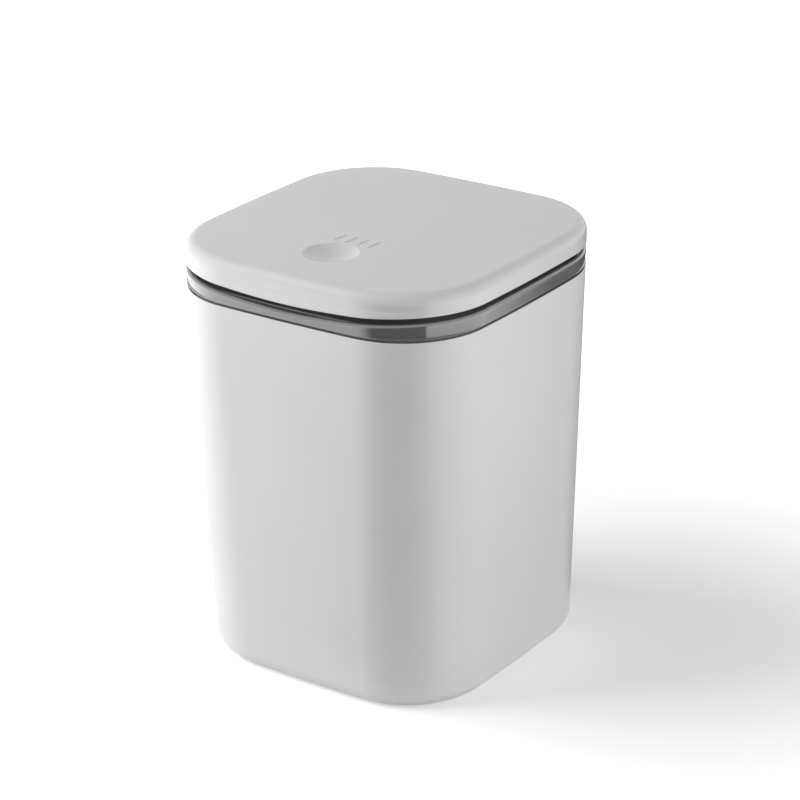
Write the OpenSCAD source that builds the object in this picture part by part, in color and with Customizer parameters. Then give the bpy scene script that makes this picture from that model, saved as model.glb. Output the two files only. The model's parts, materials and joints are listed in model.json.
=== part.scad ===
// Push top countertop bin. Origin at the middle of the base, +Z up, front towards -Y.

/* [Overall] */
// Width and depth of the bin over its lid
bin_w = 135; // [120:1:180]
// Height of the closed bin
bin_h = 175; // [150:1:260]
// Radius of the slow bow along each side, seen from above
side_bow_r = 900; // [600:50:3000]

/* [Body] */
// How far the body's rim lies inside the lid's edge
rim_inset = 0.8; // [0.5:0.1:2]
// How much further in the body is at its base
base_taper = 4.2; // [1:0.2:7]
// Radius of the body's upright corners
body_corner_r = 35.6; // [30:0.2:42]
// Radius of the rounded bottom edge
base_edge_r = 6.4; // [4:0.2:10]
// Thickness of the body's walls
body_wall = 2.2; // [1.6:0.1:3]
// Thickness of the body's floor
floor_t = 2.4; // [1.8:0.1:4]

/* [Top ring] */
// Height of the ring's outer band at the sides
band_h = 7.6; // [6.4:0.2:11]
// How far the band dips at the middle of the front
band_dip = 2.9; // [0:0.1:3.2]
// How far the band's ridge lies inside the lid's edge
band_inset = 0.15; // [0:0.05:0.5]
// Height of the open groove between the body and the band
seam_gap = 0.5; // [0.3:0.1:1]
// Thickness of the ring's walls
ring_wall = 1.8; // [1.4:0.1:2.4]
// Depth of the skirt inside the body
skirt_h = 12; // [8:0.5:20]
// Gap between the skirt and the body's wall
skirt_gap = 0.5; // [0.3:0.1:1]
// Gap between the lid's skirt and the ring's neck
neck_gap = 3.2; // [2:0.1:4]

/* [Lid] */
// Height of the lid's side
lid_side_h = 8.9; // [8:0.1:12]
// Thickness of the lid's walls
lid_wall = 2; // [1.6:0.1:2.4]
// Radius of the lid's upright corners
lid_corner_r = 38; // [33:0.5:44]
// Radius of the lid's rolled top edge
lid_edge_r = 4.4; // [3:0.2:6]
// How far the lid's edge dips at the middle of the front
lid_dip = 2.2; // [0:0.1:2.6]
// Gap between the lid's edge and the band, which is the room to press it
press_gap = 2.2; // [1.8:0.1:3]
// How far the lid tips when it is pressed, in degrees
press_angle = 1; // [0.6:0.1:1.1]
// Radius of the dimple to press
dimple_r = 11; // [7:0.5:13]
// Depth of the dimple
dimple_depth = 2.2; // [1:0.1:2.4]
// Distance of the dimple from the middle of the lid
dimple_out = 36.4; // [25:0.2:37]
// Height of the raised bars behind the dimple
mark_h = 0.3; // [0.2:0.05:0.6]
// Number of raised bars
mark_count = 4; // [2:1:5]

/* [Liner] */
// Thickness of the panel under the lid
liner_t = 1.8; // [1.5:0.1:2.4]
// Room between the panel and the lid's top
liner_room = 1.6; // [1.2:0.1:2.4]
// Sideways place of the panel's screws
liner_screw_x = 42; // [34:1:46]
// Distance of the panel's screws from the middle, front and back
liner_screw_y = 39; // [32:1:42]
// Radius of the shaft of the small screws
small_screw_r = 1; // [0.8:0.05:1.2]

/* [Hinge] */
// Distance from the lid's underside down to the hinge pin
hinge_drop = 6.4; // [5.8:0.1:7.2]
// Radius of the hinge pin
pin_r = 1.5; // [1.2:0.05:1.7]
// Running clearance around the hinge pin
pin_gap = 0.05; // [0.03:0.01:0.1]
// Half the width of the hinge housing
tower_half = 45; // [40:0.5:45]
// Sideways place of each lid arm's middle
arm_x = 28; // [26:0.5:34]
// Width of each lid arm
arm_w = 8; // [5:0.5:10]
// Wire thickness of the lid springs
lid_wire_d = 0.8; // [0.6:0.05:0.9]
// Turns in each lid spring
lid_spring_turns = 4; // [3:1:5]

/* [Latch] */
// Distance of the latch's middle from the ring's inner face
latch_setback = 7.5; // [7.2:0.1:10]
// How far the slider rises when it lets go
latch_travel = 4.5; // [3:0.1:5]
// How far each claw swings out, in degrees
claw_open = 22; // [18:1:25]
// Wall thickness of the latch's case
case_wall = 1.6; // [1.2:0.1:2]
// Radius of the claws' pins
claw_pin_r = 0.8; // [0.6:0.05:0.9]
// Wire thickness of the latch's spring
latch_wire_d = 0.6; // [0.4:0.05:0.7]
// Turns in the latch's spring
latch_spring_turns = 6; // [4:1:7]
// Radius of the shaft of the latch's screws
latch_screw_r = 1.25; // [1:0.05:1.4]

/* [Hidden] */
$fn = 64;

body_grey = "#d6d6d6";
band_grey = "#8e8e8e";
inner_grey = "#c4c4c4";
latch_white = "#ececec";
latch_dark = "#4a4a4a";
steel = "#b4b7ba";

// Steps around one side and one corner of an outline
side_steps = 6;
corner_steps = 16;
// Half the width of the front's dip
dip_half_w = 62;
// A cut runs this far past the face that it opens
past = 1;
// A screw's hole is this much wider than its shaft
screw_gap = 0.06;
// Flat and round faces that rest near each other stay this far apart
seat_gap = 0.2;
// Moving pieces that pass each other stay this far apart
slide_gap = 0.4;
// Small edges are eased by this much
ease = 0.4;
// Material left over the end of a hole that stops short
hole_cover = 0.6;

// Heights, from the top down
half_w = bin_w / 2;
top_z = bin_h - mark_h;
ceiling_z = top_z - lid_wall;
lid_edge_z = top_z - lid_side_h;
ridge_z = lid_edge_z - press_gap;
rim_z = ridge_z - band_h;
liner_top_z = ceiling_z - liner_room;
liner_z = liner_top_z - liner_t;

// Half widths, from the outside in
rim_half = half_w - rim_inset;
base_half = rim_half - base_taper;
band_half = half_w - band_inset;
lid_in_half = half_w - lid_wall;
neck_half = lid_in_half - neck_gap;
neck_in_half = neck_half - ring_wall;
skirt_half = rim_half - body_wall - skirt_gap;

// The hinge lies so that the open lid hangs just behind the band
swing_gap = 0.5;
housing_gap = 1;
liner_gap = 1.2;
hinge_z = ceiling_z - hinge_drop;
hinge_y = band_half + swing_gap - hinge_drop;
tower_r = hinge_drop - housing_gap;
tower_y = hinge_y - tower_r;
arm_r = 3.2;
notch_half = tower_half + housing_gap;
liner_back_y = tower_y - liner_gap;
spring_x = 10;
spring_room = 9.5;

// Lid springs: the upper leg lies under the panel and the lower leg on the housing
turn_gap = 0.55;
lid_coil_r = liner_z - hinge_z - lid_wire_d / 2 - seat_gap;
lid_pitch = lid_wire_d + turn_gap;
lid_leg = 8.5;

// Pressing the lid lowers its front and its latch by this much
latch_y = -(neck_in_half - latch_setback);
press_drop = (hinge_y - latch_y) * sin(press_angle);
front_drop = (hinge_y + half_w) * sin(press_angle);
press_room = 0.3;
neck_z = liner_z - front_drop - press_room;

// Latch heights, from the plate that carries it
plate_drop = 7.7;
plate_t = 2;
pivot_rise = 0.5;
claw_h = 6;
hook_t = 1.4;
head_h = 3.2;
knuckle_r = 1.5;
slider_stem_h = 9.5;
pocket_floor_t = 3;
spring_room_h = 4.2;
cover_t = 1.8;
plate_z = neck_z - plate_drop;
case_z = plate_z - plate_t;
pivot_z = case_z - latch_travel + pivot_rise;
hook_z = pivot_z + claw_h;
head_z = hook_z - slide_gap;
pocket_z = head_z - head_h - press_drop - latch_travel - slide_gap;
slider_top_z = pivot_z + knuckle_r;
slider_z = pocket_z - slider_stem_h;
cover_z = slider_z - spring_room_h;

// Latch widths, from its middle
slider_half_x = 6.4;
slider_half_y = 4.6;
case_in_x = slider_half_x + slide_gap;
case_in_y = slider_half_y + slide_gap;
case_x = case_in_x + case_wall;
case_y = case_in_y + case_wall;
pocket_half_x = 3.2;
pivot_x = 4.9;
claw_half_y = 1.5;
claw_slot_half_y = claw_half_y + seat_gap;
flange_t = 2;
flange_half_y = 4;
flange_end = 3.4;
latch_screw_x = case_x + 3.8;
plate_half_x = latch_screw_x + flange_end + 1.4;
plate_back_y = latch_y + case_y + 1.6;
mouth_half_x = 9;
mouth_half_y = case_in_y - seat_gap;
boss_r = 2.8;
boss_h = 3.4;
cam_pin_r = 0.5;
cam_y = 3.8;
cam_groove_half_x = 1;
cam_groove_y = 3;
spring_bore_r = 2.6;
latch_coil_r = spring_bore_r - latch_wire_d / 2 - seat_gap;
spring_top_z = pocket_z - pocket_floor_t;

// Striker and the small screws
striker_half_x = 10;
striker_half_y = 4;
striker_t = 1.5;
shank_half_x = 0.9;
head_half_x = 2.5;
head_half_y = 3;
head_edge_h = 0.9;
striker_screw_x = 7.2;
screw_head_r = 1.8;
screw_head_h = 0.8;
screw_sink = 0.1;
head_gap = 0.25;
lid_boss_r = 3;
screw_tip_z = top_z - 1.2;

// Where the small screws stand
liner_screw_places = [for (sx = [-1, 1], sy = [-1, 1]) [sx * liner_screw_x, sy * liner_screw_y]];
striker_screw_places = [for (sx = [-1, 1]) [sx * striker_screw_x, latch_y]];
latch_screw_places = [for (sx = [-1, 1]) [sx * latch_screw_x, latch_y]];

// Outline seen from above: four bowed sides that run smoothly into four round corners.
// The corner's centre lies at (c, c), where its arc meets the side's long arc without a kink.
function corner_centre(w, r) =
    let (a = w - side_bow_r, b = side_bow_r - r)
    (a + sqrt(2 * b * b - a * a)) / 2;
function turned(p, quarter) =
    quarter == 0 ? p : turned([-p[1], p[0]], quarter - 1);
function outline(w, r) =
    let (c = corner_centre(w, r), tilt = asin(c / (side_bow_r - r)))
    [for (quarter = [0:3]) each concat(
        [for (i = [0:side_steps - 1])
            let (t = tilt * (2 * i / side_steps - 1))
            turned([w + side_bow_r * (cos(t) - 1), side_bow_r * sin(t)], quarter)],
        [for (i = [0:corner_steps - 1])
            let (t = tilt + (90 - 2 * tilt) * i / corner_steps)
            turned([c + r * cos(t), c + r * sin(t)], quarter)])];

// The dip falls from 0 at both ends to 1 at the middle of the front, as a squared cosine
function dip_share(p) =
    p[1] < 0 && abs(p[0]) < dip_half_w ? pow(cos(90 * p[0] / dip_half_w), 2) : 0;

// A section is [half width, corner radius, height, dip at the front]
function section_points(s) =
    [for (p = outline(s[0], s[1])) [p[0], p[1], s[2] - s[3] * dip_share(p)]];

// Skin through sections, each joined to the next. An open loft is capped at both ends,
// and a looped one joins its last section to its first.
module loft(sections, looped = false) {
    n = 4 * (side_steps + corner_steps);
    m = len(sections);
    walls = [for (i = [0:m - (looped ? 1 : 2)], j = [0:n - 1], half = [0, 1])
        let (k = (j + 1) % n, i2 = (i + 1) % m)
        half == 0 ? [i * n + j, i2 * n + j, i2 * n + k] : [i * n + j, i2 * n + k, i * n + k]];
    caps = looped ? [] : [[for (j = [0:n - 1]) j], [for (j = [0:n - 1]) m * n - 1 - j]];
    polyhedron(points = [for (s = sections) each section_points(s)], faces = concat(walls, caps));
}

// Quarter-round steps of [outward, upward] shares, from the side to the top
function round_steps(count) =
    [for (i = [0:count]) [cos(90 * i / count), sin(90 * i / count)]];
function reversed(list) =
    [for (i = [len(list) - 1:-1:0]) list[i]];

// Body radius at an inner half width, so that walls keep their thickness round the corners
function body_r(w) = body_corner_r - (rim_half - w);
function lid_r(w) = lid_corner_r - (half_w - w);

// Tube of round wire through points, with six flats. Each ring faces along the wire
// and is turned by the coil's own axis.
function unit(v) = v / norm(v);
module wire(points, d, axis) {
    n = 6;
    m = len(points);
    rings = [for (i = [0:m - 1])
        let (
            along = unit(points[min(i + 1, m - 1)] - points[max(i - 1, 0)]),
            u = unit(axis - (axis * along) * along),
            v = cross(along, u))
        each [for (j = [0:n - 1]) points[i] + d / 2 * (cos(360 * j / n) * u + sin(360 * j / n) * v)]];
    walls = [for (i = [0:m - 2], j = [0:n - 1], half = [0, 1])
        let (k = (j + 1) % n)
        half == 0 ? [i * n + j, i * n + n + j, i * n + n + k] : [i * n + j, i * n + n + k, i * n + k]];
    caps = [[for (j = [0:n - 1]) j], [for (j = [0:n - 1]) m * n - 1 - j]];
    polyhedron(points = rings, faces = concat(walls, caps));
}

// Least clear gap between stretches of one wire that are at least half a turn apart
function wire_gap(points, d) =
    min([for (i = [0:len(points) - 6], j = [i + 5:len(points) - 1]) norm(points[i] - points[j])]) - d;

// Lid spring about the hinge: lower leg, turns, upper leg. side is -1 or 1.
function lid_spring_points(side) =
    let (steps = 8, count = (lid_spring_turns + 0.5) * steps)
    concat(
        [[side * spring_x, -lid_leg, -lid_coil_r]],
        [[side * spring_x, -lid_leg / 2, -lid_coil_r]],
        [for (i = [0:count])
            let (t = 360 * i / steps - 90)
            [side * (spring_x + lid_pitch * i / steps), lid_coil_r * cos(t), lid_coil_r * sin(t)]],
        [[side * (spring_x + lid_pitch * count / steps), -lid_leg / 2, lid_coil_r]],
        [[side * (spring_x + lid_pitch * count / steps), -lid_leg, lid_coil_r]]);

// Latch spring from the cover up into the slider, with a short straight end at each end
latch_spring_z = cover_z + latch_wire_d / 2 + seat_gap;
latch_spring_h = spring_top_z - latch_wire_d / 2 - seat_gap - latch_spring_z;
function latch_spring_points() =
    let (steps = 8, count = latch_spring_turns * steps)
    concat(
        [[latch_coil_r, -latch_wire_d, 0]],
        [for (i = [0:count])
            let (t = 360 * i / steps)
            [latch_coil_r * cos(t), latch_coil_r * sin(t), latch_spring_h * i / count]],
        [[latch_coil_r, latch_wire_d, latch_spring_h]]);

echo(str("Least gap in a lid spring: ", wire_gap(lid_spring_points(1), lid_wire_d)));
echo(str("Least gap in the latch spring: ", wire_gap(latch_spring_points(), latch_wire_d)));

// Plain rounded square with straight sides, for pieces that are hidden
module rounded_square(w, r) {
    square([2 * w, 2 * (w - r)], center = true);
    square([2 * (w - r), 2 * w], center = true);
    for (sx = [-1, 1], sy = [-1, 1])
        translate([sx * (w - r), sy * (w - r)])
            circle(r);
}

// Box from one corner to the opposite one
module block(low, high) {
    translate(low)
        cube(high - low);
}

// Upright hole or peg
module upright(place, r, low, high) {
    translate([place[0], place[1], low])
        cylinder(h = high - low, r = r);
}

// Cylinder along X about the hinge
module along_hinge(r, low, high) {
    translate([low, hinge_y, hinge_z])
        rotate([0, 90, 0])
            cylinder(h = high - low, r = r);
}

module bin_body() {
    rim_round = 0.6;
    rim_mid = rim_round * (1 - sqrt(0.5));
    inner_edge_r = base_edge_r - body_wall;
    lower_in = base_half - body_wall;
    outer = [for (s = reversed(round_steps(4)))
        let (w = base_half - base_edge_r * (1 - s[0]))
        [w, body_r(w) + base_taper, base_edge_r * (1 - s[1]), 0]];
    rim = [
        [rim_half, body_corner_r, rim_z - rim_round, 0],
        [rim_half - rim_mid, body_r(rim_half - rim_mid), rim_z - rim_mid, 0],
        [rim_half - rim_round, body_r(rim_half - rim_round), rim_z, 0],
        [rim_half - body_wall, body_r(rim_half - body_wall), rim_z, 0]];
    inner = [for (s = round_steps(3))
        let (w = lower_in - inner_edge_r * (1 - s[0]))
        [w, body_r(w) + base_taper, floor_t + inner_edge_r * (1 - s[1]), 0]];
    color(body_grey)
        loft(concat(outer, rim, inner));
}

// Ring without its hinge housing and latch plate: seat, band, ridge, gutter, neck and skirt
module ring_shell() {
    band_z = rim_z + seam_gap;
    groove_half = rim_half - 1.1;
    lip_r = 1.2;
    lip_steps = 6;
    ridge_mid = band_half - lip_r + 0.05;
    gutter_z = ridge_z - 3.2;
    gutter_dip = band_dip * 0.45;
    neck_foot = 1.4;
    gutter_half = ridge_mid - lip_r - 0.3;
    neck_low_z = rim_z + 1;
    step_z = rim_z - 1.5;
    skirt_z = rim_z - skirt_h;
    skirt_low = skirt_half - base_taper * skirt_h / rim_z - 0.2;
    ridge = [for (i = [0:lip_steps])
        let (t = 180 * i / lip_steps, w = ridge_mid + lip_r * cos(t))
        [w, lid_r(w), ridge_z - lip_r + lip_r * sin(t), band_dip]];
    loft(concat(
        [[groove_half, body_r(groove_half), rim_z, 0],
         [groove_half, body_r(groove_half), band_z, 0],
         [rim_half - ease, body_r(rim_half - ease), band_z, 0],
         [rim_half, body_corner_r, band_z + ease, 0]],
        ridge,
        [[gutter_half, lid_r(gutter_half), gutter_z + ease, gutter_dip],
         [gutter_half - ease, lid_r(gutter_half - ease), gutter_z, gutter_dip],
         [neck_half + neck_foot, body_r(neck_half + neck_foot), gutter_z, gutter_dip],
         [neck_half, body_r(neck_half), gutter_z + neck_foot, gutter_dip],
         [neck_half, body_r(neck_half), neck_z - ease, 0],
         [neck_half - ease, body_r(neck_half - ease), neck_z, 0],
         [neck_in_half + ease, body_r(neck_in_half + ease), neck_z, 0],
         [neck_in_half, body_r(neck_in_half), neck_z - ease, 0],
         [neck_in_half, body_r(neck_in_half), neck_low_z, 0],
         [skirt_half - ring_wall, body_r(skirt_half - ring_wall), step_z, 0],
         [skirt_low - ring_wall, body_r(skirt_low - ring_wall), skirt_z, 0],
         [skirt_low - ease, body_r(skirt_low - ease), skirt_z, 0],
         [skirt_low, body_r(skirt_low), skirt_z + ease, 0],
         [skirt_half, body_r(skirt_half), rim_z, 0]]), looped = true);
}

// Hinge housing at the back: a rounded bar across the ring that carries the pin
module hinge_tower() {
    low_z = rim_z + 1.5;
    intersection() {
        union() {
            along_hinge(tower_r, -tower_half, tower_half);
            block([-tower_half, tower_y, low_z], [tower_half, hinge_y + tower_r, hinge_z]);
        }
        translate([0, 0, low_z - past])
            linear_extrude(top_z - low_z)
                rounded_square(rim_half, lid_r(rim_half));
    }
}

module top_ring() {
    slot_half = arm_w / 2 + slide_gap;
    slot_z = hinge_z - arm_r - slide_gap;
    spring_floor_z = hinge_z - lid_coil_r - lid_wire_d / 2 - seat_gap;
    spring_mid = spring_x - 1 + spring_room / 2;
    spring_back_y = hinge_y + 3.7;
    boss_top_z = plate_z + boss_h;
    color(band_grey)
        difference() {
            union() {
                ring_shell();
                hinge_tower();
                block([-plate_half_x, -(neck_half + neck_in_half) / 2, case_z],
                    [plate_half_x, plate_back_y, plate_z]);
                for (p = latch_screw_places)
                    upright(p, boss_r, plate_z - past / 2, boss_top_z);
            }
            along_hinge(pin_r + screw_gap / 2, -tower_half - past, tower_half + past);
            for (side = [-1, 1]) {
                block([side * arm_x - slot_half, tower_y - past, slot_z],
                    [side * arm_x + slot_half, half_w + past, top_z]);
                block([side * spring_mid - spring_room / 2, tower_y - past, spring_floor_z],
                    [side * spring_mid + spring_room / 2, spring_back_y, top_z]);
            }
            block([-mouth_half_x, latch_y - mouth_half_y, case_z - past],
                [mouth_half_x, latch_y + mouth_half_y, plate_z + past]);
            for (p = latch_screw_places)
                upright(p, latch_screw_r + screw_gap, case_z - past, boss_top_z - hole_cover);
        }
}

module hinge_pin() {
    color(steel)
        along_hinge(pin_r, -tower_half + hole_cover, tower_half - hole_cover);
}

module lid_spring(side) {
    color(steel)
        translate([0, hinge_y, hinge_z])
            wire(lid_spring_points(side), lid_wire_d, [1, 0, 0]);
}

// One arm of the lid: a web from the ceiling down to a round eye on the hinge pin
module lid_arm(side) {
    low_x = side * arm_x - arm_w / 2;
    along_hinge(arm_r, low_x, low_x + arm_w);
    block([low_x, hinge_y - arm_r, hinge_z], [low_x + arm_w, hinge_y + arm_r, ceiling_z + lid_wall / 2]);
}

// Short raised bar with round ends, one of a plain row that marks where to press
module mark_bar(x) {
    bar_w = 2.2;
    bar_l = 7.4;
    near_y = -dimple_out + dimple_r + 1.2;
    translate([x, 0, top_z - mark_h])
        linear_extrude(2 * mark_h) {
            translate([-bar_w / 2, near_y + bar_w / 2])
                square([bar_w, bar_l - bar_w]);
            translate([0, near_y + bar_w / 2])
                circle(bar_w / 2);
            translate([0, near_y + bar_l - bar_w / 2])
                circle(bar_w / 2);
        }
}

module lid_shell() {
    edge_z = top_z - lid_edge_r;
    inner_r = max(lid_edge_r - lid_wall, 0.6);
    inner_top = [for (s = reversed(round_steps(3)))
        let (w = lid_in_half - inner_r * (1 - s[0]))
        [w, lid_r(w), ceiling_z - inner_r * (1 - s[1]), 0]];
    skirt = [
        [lid_in_half, lid_r(lid_in_half), lid_edge_z + ease, lid_dip],
        [lid_in_half + ease, lid_r(lid_in_half + ease), lid_edge_z, lid_dip],
        [half_w - ease, lid_r(half_w - ease), lid_edge_z, lid_dip],
        [half_w, lid_corner_r, lid_edge_z + ease, lid_dip]];
    outer_top = [for (s = round_steps(6))
        let (w = half_w - lid_edge_r * (1 - s[0]))
        [w, lid_r(w), edge_z + lid_edge_r * s[1], 0]];
    bowl_r = (dimple_r * dimple_r + dimple_depth * dimple_depth) / (2 * dimple_depth);
    mark_pitch = 5.4;
    color(body_grey)
        difference() {
            union() {
                difference() {
                    loft(concat(inner_top, skirt, outer_top));
                    block([-notch_half, tower_y - 2, lid_edge_z - past],
                        [notch_half, half_w + past, ceiling_z]);
                }
                lid_arm(-1);
                lid_arm(1);
                upright([0, -dimple_out], dimple_r + 2.5, liner_top_z + seat_gap, ceiling_z + lid_wall / 2);
                for (p = concat(liner_screw_places, striker_screw_places))
                    upright(p, lid_boss_r, liner_top_z, ceiling_z + lid_wall / 2);
                for (i = [0:mark_count - 1])
                    mark_bar(mark_pitch * (i - (mark_count - 1) / 2));
            }
            translate([0, -dimple_out, top_z - dimple_depth + bowl_r])
                sphere(bowl_r, $fn = 128);
            for (p = concat(liner_screw_places, striker_screw_places))
                upright(p, small_screw_r + screw_gap, liner_top_z - past, screw_tip_z + seat_gap);
            along_hinge(pin_r + pin_gap, -tower_half, tower_half);
        }
}

module lid_liner() {
    liner_half = neck_in_half - 0.5;
    color(inner_grey)
        difference() {
            translate([0, 0, liner_z])
                linear_extrude(liner_t)
                    rounded_square(liner_half, body_r(liner_half));
            block([-notch_half, liner_back_y, liner_z - past], [notch_half, half_w, liner_top_z + past]);
            for (p = concat(liner_screw_places, striker_screw_places))
                upright(p, small_screw_r + screw_gap, liner_z - past, liner_top_z + past);
            for (p = liner_screw_places)
                upright(p, screw_head_r + head_gap, liner_z - past, liner_z + screw_head_h + screw_sink);
        }
}

// Small screw with a flat head at its lower end
module small_screw(place, low_z) {
    upright(place, small_screw_r, low_z + screw_head_h / 2, screw_tip_z);
    upright(place, screw_head_r, low_z, low_z + screw_head_h);
}

module liner_screws() {
    color(steel)
        for (p = liner_screw_places)
            small_screw(p, liner_z + screw_sink);
}

// Arrow that the claws hold: a base plate, a flat shank and a pointed head
module lid_striker() {
    color(latch_white)
        difference() {
            union() {
                block([-striker_half_x, latch_y - striker_half_y, liner_z - striker_t],
                    [striker_half_x, latch_y + striker_half_y, liner_z]);
                translate([0, latch_y + head_half_y, 0])
                    rotate([90, 0, 0])
                        linear_extrude(2 * head_half_y)
                            polygon([
                                [-shank_half_x, liner_z - striker_t / 2],
                                [-shank_half_x, head_z],
                                [-head_half_x, head_z],
                                [-head_half_x, head_z - head_edge_h],
                                [-shank_half_x, head_z - head_h],
                                [shank_half_x, head_z - head_h],
                                [head_half_x, head_z - head_edge_h],
                                [head_half_x, head_z],
                                [shank_half_x, head_z],
                                [shank_half_x, liner_z - striker_t / 2]]);
            }
            for (p = striker_screw_places) {
                upright(p, small_screw_r + screw_gap, liner_z - striker_t - past, liner_z + past);
                upright(p, screw_head_r + head_gap, liner_z - striker_t - past,
                    liner_z - striker_t + screw_head_h + screw_sink);
            }
        }
}

module striker_screws() {
    color(steel)
        for (p = striker_screw_places)
            small_screw(p, liner_z - striker_t + screw_sink);
}

module latch_case() {
    flange_x = latch_screw_x + flange_end;
    color(latch_dark)
        difference() {
            union() {
                block([-case_x, latch_y - case_y, cover_z], [case_x, latch_y + case_y, case_z]);
                block([-flange_x, latch_y - flange_half_y, case_z - flange_t],
                    [flange_x, latch_y + flange_half_y, case_z]);
            }
            block([-case_in_x, latch_y - case_in_y, cover_z - past],
                [case_in_x, latch_y + case_in_y, case_z + past]);
            for (p = latch_screw_places)
                upright(p, latch_screw_r + screw_gap, case_z - flange_t - past, case_z + past);
        }
}

// Bottom of the latch's case, with the peg that centres the spring
module latch_cover() {
    plug_gap = 0.15;
    plug_h = 1;
    peg_r = latch_coil_r - latch_wire_d / 2 - 2 * seat_gap;
    peg_h = 3;
    color(latch_dark)
        difference() {
            union() {
                block([-case_x, latch_y - case_y, cover_z - cover_t], [case_x, latch_y + case_y, cover_z]);
                difference() {
                    block([-case_in_x + plug_gap, latch_y - case_in_y + plug_gap, cover_z - cover_t / 2],
                        [case_in_x - plug_gap, latch_y + case_in_y - plug_gap, cover_z + plug_h]);
                    upright([0, latch_y], spring_bore_r, cover_z, cover_z + plug_h + past);
                }
                upright([0, latch_y], peg_r, cover_z - cover_t / 2, cover_z + peg_h);
            }
            upright([0, latch_y + cam_y], cam_pin_r + screw_gap / 2, cover_z - cover_t - past,
                cover_z + plug_h + past);
        }
}

module latch_screws() {
    big_head_h = 1.5;
    big_head_r = 2.4;
    flange_z = case_z - flange_t;
    color(steel)
        for (p = latch_screw_places) {
            upright(p, latch_screw_r, flange_z - big_head_h / 2, plate_z + boss_h - 1);
            upright(p, big_head_r, flange_z - big_head_h, flange_z);
        }
}

// Slider: a block with a pocket for the arrow's head and a fork for each claw
module latch_slider() {
    color(latch_white)
        difference() {
            block([-slider_half_x, latch_y - slider_half_y, slider_z],
                [slider_half_x, latch_y + slider_half_y, slider_top_z]);
            block([-pocket_half_x, latch_y - slider_half_y - past, pocket_z],
                [pocket_half_x, latch_y + slider_half_y + past, slider_top_z + past]);
            block([-slider_half_x - past, latch_y - claw_slot_half_y, pivot_z - knuckle_r - slide_gap],
                [slider_half_x + past, latch_y + claw_slot_half_y, slider_top_z + past]);
            for (side = [-1, 1])
                translate([side * pivot_x, latch_y - slider_half_y - past, pivot_z])
                    rotate([-90, 0, 0])
                        cylinder(h = 2 * slider_half_y + 2 * past, r = claw_pin_r + screw_gap / 2);
            upright([0, latch_y], spring_bore_r, slider_z - past, spring_top_z);
            block([-cam_groove_half_x, latch_y + cam_groove_y, slider_z - past],
                [cam_groove_half_x, latch_y + slider_half_y + past, spring_top_z + 1]);
        }
}

module latch_spring() {
    color(steel)
        translate([0, latch_y, latch_spring_z])
            wire(latch_spring_points(), latch_wire_d, [0, 0, 1]);
}

// Straight wire that stands in the cover and follows the slider's groove
module latch_cam_pin() {
    color(steel)
        upright([0, latch_y + cam_y], cam_pin_r, cover_z - cover_t, spring_top_z - slide_gap);
}

module claw_pin(side) {
    claw_pin_l = 2 * slider_half_y - seat_gap;
    color(steel)
        translate([side * pivot_x, latch_y - claw_pin_l / 2, pivot_z])
            rotate([-90, 0, 0])
                cylinder(h = claw_pin_l, r = claw_pin_r);
}

// Claw, drawn for the right side: an eye on its pin, an arm, and a hook that points inward
module latch_claw(side) {
    arm_in = -1.2;
    arm_out = 0.8;
    hook_in = shank_half_x + 0.5 - pivot_x;
    hook_tip_t = 0.5;
    tip_z = hook_z - pivot_z + hook_t;
    color(latch_white)
        translate([side * pivot_x, latch_y, pivot_z])
            mirror([side < 0 ? 1 : 0, 0, 0])
                difference() {
                    union() {
                        translate([0, claw_half_y, 0])
                            rotate([90, 0, 0])
                                linear_extrude(2 * claw_half_y)
                                    polygon([
                                        [arm_in, 0],
                                        [arm_out, 0],
                                        [arm_out, tip_z],
                                        [arm_in, tip_z],
                                        [hook_in, tip_z - hook_t + hook_tip_t],
                                        [hook_in, tip_z - hook_t],
                                        [arm_in, tip_z - hook_t]]);
                        translate([0, -claw_half_y, 0])
                            rotate([-90, 0, 0])
                                cylinder(h = 2 * claw_half_y, r = knuckle_r);
                    }
                    translate([0, -claw_half_y - past, 0])
                        rotate([-90, 0, 0])
                            cylinder(h = 2 * claw_half_y + 2 * past, r = claw_pin_r + pin_gap);
                }
}

bin_body();
top_ring();
hinge_pin();
lid_spring(-1);  // lid_spring_left
lid_spring(1);  // lid_spring_right
lid_shell();
lid_liner();
liner_screws();
lid_striker();
striker_screws();
latch_case();
latch_cover();
latch_screws();
latch_slider();
latch_spring();
latch_cam_pin();
claw_pin(-1);  // claw_pin_left
claw_pin(1);  // claw_pin_right
latch_claw(-1);  // latch_claw_left
latch_claw(1);  // latch_claw_right
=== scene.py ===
"""Push top countertop bin: surfaces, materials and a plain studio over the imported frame."""

import json

import bmesh
import bpy
import numpy as np
from bpy.props import FloatProperty, FloatVectorProperty, IntProperty, PointerProperty
from mathutils import Matrix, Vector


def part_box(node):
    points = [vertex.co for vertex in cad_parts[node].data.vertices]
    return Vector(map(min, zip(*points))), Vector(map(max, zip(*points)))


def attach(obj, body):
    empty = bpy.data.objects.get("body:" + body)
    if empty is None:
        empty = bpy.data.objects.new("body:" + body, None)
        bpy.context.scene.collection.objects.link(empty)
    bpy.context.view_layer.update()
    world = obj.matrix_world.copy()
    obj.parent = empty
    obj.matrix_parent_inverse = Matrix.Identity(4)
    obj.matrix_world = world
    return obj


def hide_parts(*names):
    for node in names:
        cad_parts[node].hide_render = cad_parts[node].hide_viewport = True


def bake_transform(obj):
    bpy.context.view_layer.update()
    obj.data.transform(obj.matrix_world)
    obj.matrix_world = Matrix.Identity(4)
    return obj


bl_info = {
    "name": "Push Top Countertop Bin",
    "version": (1, 0, 0),
    "blender": (4, 5, 0),
    "location": "View3D > Sidebar > Bin",
    "description": "Builds the finished surfaces, materials and studio of a push top countertop bin",
    "category": "Object",
}

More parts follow.
